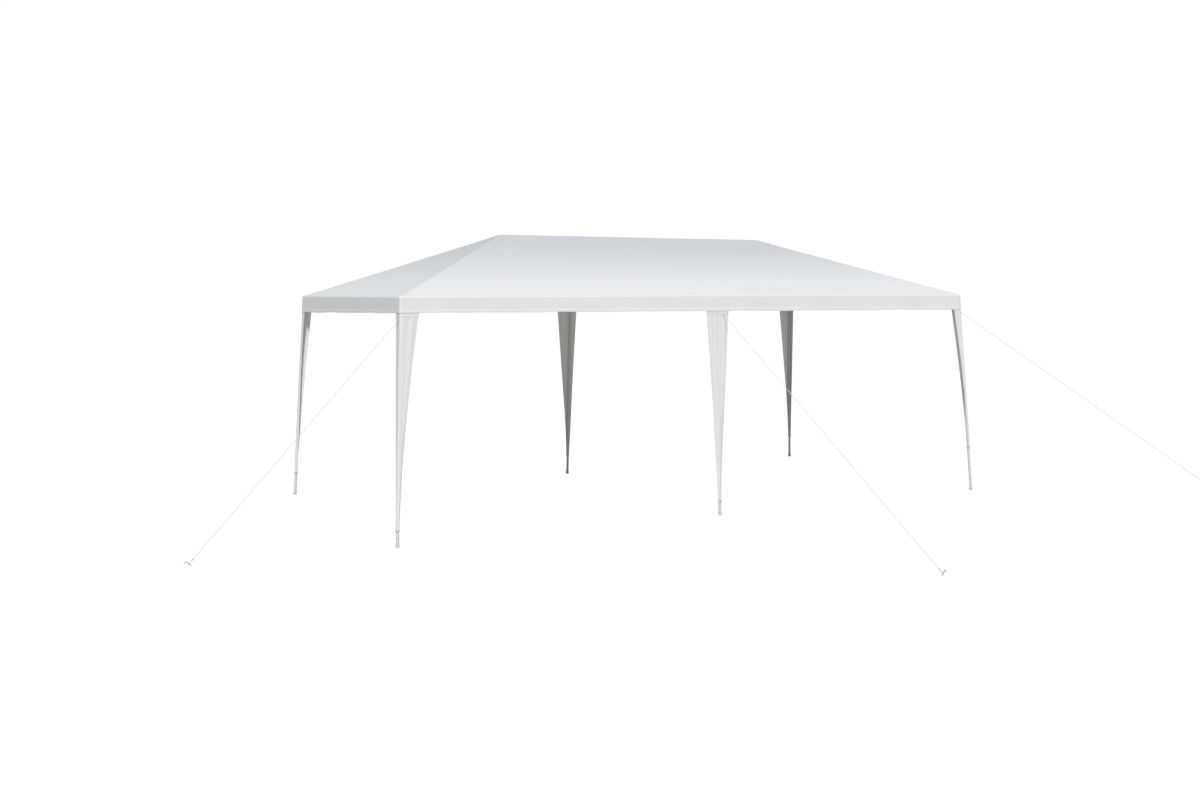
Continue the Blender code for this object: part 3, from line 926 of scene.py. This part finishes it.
def leg_tie(name, finish):
    """A grey elastic tie: a cord wound round the cover and pole as a flat helix. On the outer side,
    where its ends meet, it has a small knot of crossed turns, sin t to the right, sin 2t up and
    cos 3t out, and its two ends hang as curves that bend down."""
    z = LEG_COVERS[name]["foot_z"] + TIE_UP
    radius = TIED_R + 0.0015
    out, right = leg_facing(name)
    turn = np.linspace(0, TAU * TIE_WRAPS, 48 * TIE_WRAPS + 1)
    level = z + (turn / turn[-1] - 0.5) * 2.2 * TIE_R * TIE_WRAPS
    spoke = spokes(turn, out, right)
    form = Form()
    form.cord(leg_axis(name, level) + radius * spoke, spoke, TIE_R, 10)
    centre = leg_axis(name, z) + out * (radius + 1.6 * TIE_R)
    t = np.linspace(0, TAU, 65)[:, None]
    knot = 3.0 * np.sin(t) * right + 2.4 * np.sin(2 * t) * UP + 1.1 * np.cos(3 * t) * out
    form.grid(*carried(centre + TIE_R * knot, out, TIE_R, 10))
    t = np.linspace(0, 1, 16)[:, None]
    for hand in (-1, 1):
        tail = centre + hand * right * (0.002 + 0.004 * t) - UP * (0.002 + 0.018 * t**1.3) + out * 0.002 * t
        form.cord(tail, out, 0.9 * TIE_R, 10)
    form.piece("leg_tie_" + name + "_" + str(round(z * 1000)), [finish], "foot")


# Tubes, connectors and caps


def band(at, foot, top, radius, height):
    """Four points of a profile: a low rib, or a groove where its height is less than nothing."""
    changed = radius + height
    return [(at - foot, radius), (at - top, changed), (at + top, changed), (at + foot, radius)]


def tube_profile(length, foot):
    """Distances along a tube and its radius there: plain, swelling into the pressed joint with two
    pressed rings, and plain again."""
    swell = [(JOINT_HALF + 0.006, TUBE_R), (JOINT_HALF, TUBE_R + 0.0001)]
    swell += [(JOINT_HALF - 0.003, JOINT_R - 0.0002), (JOINT_HALF - 0.005, JOINT_R)]
    joint = [(-at, radius) for at, radius in swell]
    joint += band(-0.00975, 0.00225, 0.00075, JOINT_R, -0.0007)
    joint += band(0.0, 0.0012, 0.0004, JOINT_R, -0.0008)
    joint += swell[::-1]
    shape = [(0.0, 0.0), (0.0, TUBE_R - TUBE_END), (TUBE_END, TUBE_R)]
    shape += [(length / 2 + at, radius) for at, radius in joint]
    if foot:
        return shape + [(length - 0.0004, TUBE_R), (length, TUBE_R), (length, 0.0)]
    return shape + [(length - TUBE_END, TUBE_R), (length, TUBE_R - TUBE_END), (length, 0.0)]


def spring_button(form, seat, out):
    """A domed button in a low washer, both turned. The dome is a quarter of an ellipse."""
    button = [(0.0, 0.0), (0.0, BUTTON_R)]
    for angle in np.linspace(0, math.pi / 2, 6):
        button.append((0.0008 + BUTTON_UP * math.sin(angle), BUTTON_R * math.cos(angle)))
    washer = [(0.0, 0.0), (0.0, BUTTON_R + 0.0011), (0.0010, BUTTON_R + 0.0009)]
    washer += [(0.0011, BUTTON_R + 0.0004), (0.0011, 0.0)]
    form.grid(*turned(seat, out, button, 20), finish=1)
    form.grid(*turned(seat, out, washer, 24), finish=1)


def painted(solid, start, end, facing, finish, steel, foot=False):
    """A painted tube, turned about the line from start to end, with its spring button on the side that
    faces this way. Its edge map holds the distance to the nearest joint edge or sleeve mouth, where
    the paint rubs."""
    direction = unit(end - start)
    length = float(np.linalg.norm(end - start))
    points, cut = turned(start, direction, tube_profile(length, foot), TUBE_SIDES, 3 if foot else 0)
    at = cut[..., 1]
    joint = np.abs(np.abs(at - length / 2) - JOINT_HALF)
    mouth = np.abs(np.minimum(at, length - at) - (SLEEVE_END - TUBE_INSET))
    form = Form()
    form.grid(points, cut, paired(cut[..., 0], np.minimum(joint, mouth)))
    out = unit(facing - (facing @ direction) * direction)
    spring_button(form, start + direction * (length / 2 + BUTTON_AT) + out * (JOINT_R - BUTTON_SUNK), out)
    form.piece("painted_" + solid, [finish, steel], "tube", solid, sharp=35)


def sleeve_profile():
    """A sleeve from the elbow out: two low ribs, a collar at the mouth with rounded lips, and back
    down the bore to its stop."""
    shape = [(0.0, 0.0), (0.0, SLEEVE_R)]
    for rib in SLEEVE_RIBS:
        shape += band(rib, 0.0022, 0.001, SLEEVE_R, 0.0007)
    shape += [(COLLAR_AT, SLEEVE_R), (COLLAR_AT + 0.0017, COLLAR_R - 0.0001), (COLLAR_AT + 0.0025, COLLAR_R)]
    shape += [(SLEEVE_END - 0.002, COLLAR_R), (SLEEVE_END - 0.0005, COLLAR_R - 0.0005)]
    shape += [(SLEEVE_END, COLLAR_R - 0.0018), (SLEEVE_END, BORE_R + 0.0010)]
    shape += [(SLEEVE_END - 0.0009, BORE_R), (SLEEVE_STOP, BORE_R), (SLEEVE_STOP, 0.0)]
    return shape


def screw_head(form, seat, out):
    """A low screw head, turned from a flattened quarter of a circle, with a round recess in its top."""
    head = [(0.0, 0.0), (0.0, SCREW_R), (0.0008, SCREW_R)]
    for angle in np.linspace(0, math.pi / 2, 5)[1:-1]:
        head.append((0.0008 + 0.0010 * math.sin(angle), SCREW_R * math.cos(angle) ** 0.8))
    head += [(0.0018, 0.0012), (0.0018, 0.0011), (0.0010, 0.0010), (0.0010, 0.0)]
    form.grid(*turned(seat, out, head, 20))


def joined(meshes):
    """One mesh from overlapping closed ones, by exact unions."""
    helpers = [placed("union_part", mesh) for mesh in meshes]
    base = helpers[0]
    for helper in helpers[1:]:
        step = base.modifiers.new("union", "BOOLEAN")
        step.operation = "UNION"
        step.solver = "EXACT"
        step.object = helper
    bpy.context.view_layer.update()
    view = bpy.context.evaluated_depsgraph_get()
    mesh = bpy.data.meshes.new_from_object(base.evaluated_get(view))
    for helper in helpers:
        bpy.data.objects.remove(helper, do_unlink=True)
    return mesh


def connector(solid, centre, neighbours, finish):
    """A moulded connector: a round elbow, turned from half a circle, with a collared sleeve towards
    each tube, fused into one body, and a screw in every sleeve."""
    ball = [(-ELBOW_R * math.cos(a), ELBOW_R * math.sin(a)) for a in np.linspace(0, math.pi, 17)]
    parts = [(UP, ball)]
    screws = Form()
    for neighbour in neighbours:
        direction = unit(neighbour - centre)
        parts.append((direction, sleeve_profile()))
        side, up = across(direction)
        out = -up if direction[2] > -0.9 else side
        screw_head(screws, centre + direction * SCREW_AT + out * (SLEEVE_R - SCREW_SUNK), out)
    meshes = []
    for direction, profile in parts:
        part = Form()
        part.grid(*turned(centre, direction, profile, SLEEVE_SIDES))
        meshes.append(part.mesh("union_source"))
    form = bmesh.new()
    form.from_mesh(joined(meshes))
    bmesh.ops.remove_doubles(form, verts=form.verts, dist=2e-5)
    form.from_mesh(screws.mesh("screws_source"))
    mesh = finished(form, bpy.data.meshes.new("moulded_" + solid), [finish], 32)
    dressed(placed("moulded_" + solid, mesh), "connector", solid)


def foot_cap(name, foot, direction, finish):
    """A ribbed cup round a leg's foot: level rings that follow the slant of the leg, from the middle
    of its flat underside out, up its ribbed side, over the rim and down to its floor."""
    shape = [(0.0, 0.0), (0.0, CAP_BASE_R - 0.0014), (0.0005, CAP_BASE_R - 0.0004), (0.0014, CAP_BASE_R)]
    shape += [(0.0040, CAP_BASE_R), (0.0050, CAP_BASE_R - 0.0007)]
    for rib in CAP_RIBS:
        shape += band(rib, 0.0016, 0.0007, CAP_TOP_R, 0.0006)
    shape += [(CAP_H - 0.0010, CAP_TOP_R), (CAP_H - 0.0002, CAP_TOP_R - 0.0005), (CAP_H, CAP_TOP_R - 0.0009)]
    shape += [(CAP_H, CAP_BORE_R + 0.0004), (CAP_H - 0.0006, CAP_BORE_R)]
    shape += [(CAP_FLOOR, CAP_BORE_R), (CAP_FLOOR, 0.0)]
    height, radius = np.array(shape).T
    angle = np.linspace(0, TAU, 41)
    centre = foot + direction * (height / direction[2])[:, None]
    points = centre[:, None] + radius[:, None, None] * spokes(angle, X, Y)
    form = Form()
    form.grid(points, paired(angle * CAP_BASE_R, height[:, None]))
    form.piece("ribbed_cap_" + name, [finish], "foot", "foot_cap_" + name, sharp=35)


# Ropes and pegs


def rope_places(side):
    """Where a rope starts on the valance, which is the skin and the splay times the drop outside the
    eave; its peg; the direction the peg leans, square to the pull in the upright plane through it;
    and the outward face there."""
    x, y, z = ROPES[side]["top"]
    down = EAVE_Z - z
    if side == "front":
        top = np.array([x, y * (EAVE_Y + SKIN + SPLAY_Y * down), z])
        face = unit(y * Y + SPLAY_Y * UP)
    else:
        top = np.array([x * (EAVE_X + SKIN + SPLAY_X * down), y, z])
        face = unit(x * X + SPLAY_X * UP)
    peg = np.array(ROPES[side]["peg"])
    pull = unit(top - peg)
    level = unit(pull * (1, 1, 0))
    lean = unit(UP * (pull @ level) - level * pull[2])
    return top, peg, lean, face


def guy_rope(side, finish):
    """A taut three-strand rope: a straight line from its knot at the cover to a knot near the peg,
    where it opens into an eye that passes round the peg. The eye's path is two straight legs that
    touch a circle, and its arc between them. Each knot is the rope wound round itself as a helix."""
    top, peg, lean, face = rope_places(side)
    eye = peg + lean * LOOP_UP
    along = unit(top - eye)
    beside = unit(np.cross(lean, along))
    start, knot = top - face * ROPE_BEHIND, eye + along * LOOP_KNOT
    strand = {"sides": 12, "lobes": STRANDS, "lobe_depth": 0.13, "lay": ROPE_LAY}
    form = Form()
    t = np.linspace(0, 1, int(np.linalg.norm(top - eye) / ROPE_STEP))[:, None]
    form.cord(start + t * (knot - start), beside, ROPE_R, **strand)
    half = math.acos(LOOP_R / LOOP_KNOT)
    ring = eye + LOOP_R * spokes(np.linspace(half, TAU - half, 40), along, beside)
    leg = np.linspace(0, 1, 24)[:, None]
    path = np.concatenate([knot + leg[:-1] * (ring[0] - knot), ring, ring[-1] + leg[1:] * (knot - ring[-1])])
    form.cord(path, lean, ROPE_R * 0.96, **strand)
    for centre, (length, size) in ((knot, EYE_KNOT), (top - along * TOP_KNOT[0], TOP_KNOT)):
        wind = np.linspace(0, TAU * length / (2.0 * ROPE_R), 90)
        spoke = spokes(wind, beside, np.cross(along, beside))
        place = centre + along * (wind / wind[-1] - 0.5)[:, None] * length + spoke * ROPE_R * size
        form.cord(place, spoke, ROPE_R * 0.94, **strand)
    form.piece("laid_rope_" + side, [finish], "rope", "guy_rope_" + side, sharp=70)


def eyelet(side, finish):
    """A rolled eyelet in the cloth where the rope passes: a round profile turned about the face."""
    top, _, _, face = rope_places(side)
    angle = np.linspace(0, TAU, 17)
    profile = paired(0.0004 + 0.0013 * np.sin(angle), EYELET_R + 0.0021 * np.cos(angle))
    form = Form()
    form.grid(*turned(top - face * 0.0012, face, profile, 32))
    form.piece("eyelet_" + side, [finish], "connector")


def ground_peg(side, finish):
    """A bent steel peg above the ground: its path is a straight shaft and an arc, its foot sawn level
    with the ground and its tip rounded."""
    _, peg, lean, _ = rope_places(side)
    axis = np.cross(UP, unit(lean * (1, 1, 0)))
    outwards = np.cross(axis, lean)
    shaft = peg + lean * np.linspace(0, PEG_SHAFT, 10)[:-1, None]
    centre = peg + lean * PEG_SHAFT + outwards * PEG_HOOK_R
    hook = centre + PEG_HOOK_R * spokes(np.linspace(0, PEG_HOOK_TURN, 26), -outwards, lean)
    cap = np.linspace(0, math.pi / 2, 6)[1:]
    tip = hook[-1] + spokes(PEG_HOOK_TURN, lean, outwards) * (PEG_R * np.sin(cap))[:, None] * 0.9
    radius = np.concatenate([np.full(len(shaft) + len(hook), PEG_R), PEG_R * np.cos(cap) + 1e-5])
    points, cut = carried(np.concatenate([shaft, hook, tip]), axis, radius, 20)
    points[0] -= (points[0, :, 2] / lean[2])[:, None] * lean
    form = Form()
    form.grid(*closed_ends(points, cut))
    form.piece("bent_peg_" + side, [finish], "peg", "ground_peg_" + side, sharp=60)


# The stage


def stage_floor():
    """A wide pale floor, seen almost as white as the backdrop and with the tent's soft shadow. From
    below it is clear."""
    mesh = bpy.data.meshes.new("studio_floor")
    corners = [(x * FLOOR_REACH, y * FLOOR_REACH, FLOOR_Z) for x, y in ((-1, -1), (1, -1), (1, 1), (-1, 1))]
    mesh.from_pydata(corners, [], [(0, 1, 2, 3)])
    made = bpy.data.materials.new("pale_floor")
    made.use_nodes = True
    tree = made.node_tree
    tree.nodes.remove(tree.nodes["Principled BSDF"])
    paper = node(tree, "BsdfDiffuse", {"Color": FLOOR_TINT})
    glow = node(tree, "Emission", {"Color": WHITE, "Strength": FLOOR_WHITE})
    share = node(tree, "LightPath", output="Is Camera Ray") * FLOOR_GLOW
    lit = node(tree, "MixShader", (share, paper, glow))
    below = node(tree, "NewGeometry", output="Backfacing")
    sided = node(tree, "MixShader", (below, lit, node(tree, "BsdfTransparent")))
    feed(tree.nodes["Material Output"].inputs["Surface"], sided)
    mesh.materials.append(made)
    placed("studio_floor", mesh)


def stage_light():
    """One soft key light from above and in front, and a white backdrop that lights the tent less
    than the camera sees."""
    data = bpy.data.lights.new("key_light", "SUN")
    data.energy = KEY_STRENGTH
    data.color = KEY_COLOUR
    data.angle = KEY_SPREAD
    lamp = placed("key_light", data)
    lamp.rotation_euler = Vector(KEY_FROM).to_track_quat("Z", "Y").to_euler()
    world = bpy.data.worlds.new("studio")
    bpy.context.scene.world = world
    world.use_nodes = True
    seen = node(world.node_tree, "LightPath", output="Is Camera Ray")
    strength = seen * (SEEN_WHITE - SKY_STRENGTH) + SKY_STRENGTH
    backdrop = world.node_tree.nodes["Background"]
    feed_all(backdrop, Color=blended(seen, SKY_COLOUR, WHITE), Strength=strength)


def stage_camera():
    """The photograph's camera: level, turned to the tent's left front, its frame slid down."""
    data = bpy.data.cameras.new("camera")
    data.sensor_width = 36.0
    data.lens = FOCAL_PIXELS / IMAGE_WIDTH * data.sensor_width
    data.shift_y = -HORIZON_PIXELS / IMAGE_WIDTH
    camera = placed("camera", data)
    level = Matrix.Rotation(CAMERA_YAW, 4, "Z") @ Matrix.Rotation(math.pi / 2, 4, "X")
    rolled = level @ Matrix.Rotation(CAMERA_ROLL, 4, "Z")
    camera.matrix_world = Matrix.Translation(Vector(put_home(CAMERA_AT))) @ rolled
    bpy.context.scene.camera = camera


# The whole tent


def frame_points():
    """The places where tube axes meet, and the feet, by name."""
    points = {}
    for name, x in (("left", -1), ("middle", 0), ("right", 1)):
        points["ridge_" + name] = np.array([x * RIDGE_X, 0, RIDGE_Z])
    for name, (x, y) in LEGS.items():
        points[name] = np.array([x * EAVE_X, y * EAVE_Y, EAVE_Z])
        points["foot_" + name] = np.array([x * FOOT_X, y * FOOT_Y, 0.0])
    return points


def frame_tubes():
    """The tubes under the cover, each with the two places that it joins."""
    tubes = {}
    for depth in ("front", "back"):
        for side in ("left", "right"):
            tubes[f"eave_tube_{depth}_{side}"] = (f"{depth}_{side}", f"{depth}_middle")
            tubes[f"hip_rafter_{depth}_{side}"] = (f"{depth}_{side}", f"ridge_{side}")
        tubes[f"middle_rafter_{depth}"] = (f"{depth}_middle", "ridge_middle")
    for side in ("left", "right"):
        tubes[f"eave_tube_{side}"] = (f"front_{side}", f"back_{side}")
        tubes[f"ridge_tube_{side}"] = (f"ridge_{side}", "ridge_middle")
    return tubes


def frame_connectors():
    """The connectors, each with its place."""
    places = {f"ridge_end_connector_{side}": f"ridge_{side}" for side in ("left", "right")}
    places["ridge_middle_connector"] = "ridge_middle"
    places |= {f"side_connector_{depth}": f"{depth}_middle" for depth in ("front", "back")}
    places |= {f"corner_connector_{name}": name for name, (x, _) in LEGS.items() if x}
    return places


def build():
    """Every piece of the tent, in its finish."""
    cloth = tarpaulin("white_tarpaulin", OUTER_WHITES_PAINTED_RIDGE_SHADE, ROOF_ROWS, (9.0, 0.10))
    # The inner face: darker whites as painted shade.
    inner_face_painted_shade = tarpaulin("tarpaulin_underside_painted_shade", UNDERSIDE_PAINTED_SHADE_WHITES, ROOF_ROWS[:2], (9.0, 0.2))
    # The leg cloth gets stronger painted crease shade and more painted shade along its seams.
    worn = {"rows": LEG_ROWS, "crease_shade_streaks": (48.0, 0.6), "creases": 2.0, "seam_shade": 0.35}
    leg_cloth = tarpaulin("leg_tarpaulin", OUTER_WHITES_PAINTED_RIDGE_SHADE, **worn)
    # The leg covers' inner faces, with their painted warm shade tint.
    leg_inner_painted_shade = tarpaulin("leg_underside_warm_painted_shade", LEG_UNDERSIDE_PAINTED_WARM_SHADE_WHITES, **worn)
    plastic = moulding("white_moulding", PLASTIC, 0.48, 0.2)
    cap_plastic = moulding("grey_moulding", CAP_PLASTIC, 0.56, 0.03)
    paint, plate, rope, elastic = painted_tube(), zinc(), laid_rope(), braided_tie()

    sewn_cover(cloth, inner_face_painted_shade)
    points = frame_points()
    neighbours = {name: [] for name in points}
    for solid, (a, b) in frame_tubes().items():
        step = unit(points[b] - points[a]) * TUBE_INSET
        neighbours[a].append(points[b])
        neighbours[b].append(points[a])
        painted(solid, points[a] + step, points[b] - step, -UP, paint, plate)
    for name in LEGS:
        top, foot = points[name], points["foot_" + name]
        neighbours[name].append(foot)
        down = unit(foot - top)
        start, end = top + down * TUBE_INSET, foot + down * (LEG_END_Z / down[2])
        painted("leg_" + name, start, end, -leg_facing(name)[0], paint, plate, foot=True)
        foot_cap(name, foot, down, cap_plastic)
        leg_cover(name, leg_cloth, leg_inner_painted_shade)
        leg_tie(name, elastic)
    for solid, place in frame_connectors().items():
        connector(solid, points[place], neighbours[place], plastic)
    for side in ROPES:
        guy_rope(side, rope)
        eyelet(side, plastic)
        ground_peg(side, plate)


bpy.context.scene.view_settings.view_transform = "Standard"
stage_camera()
stage_floor()
stage_light()
build()
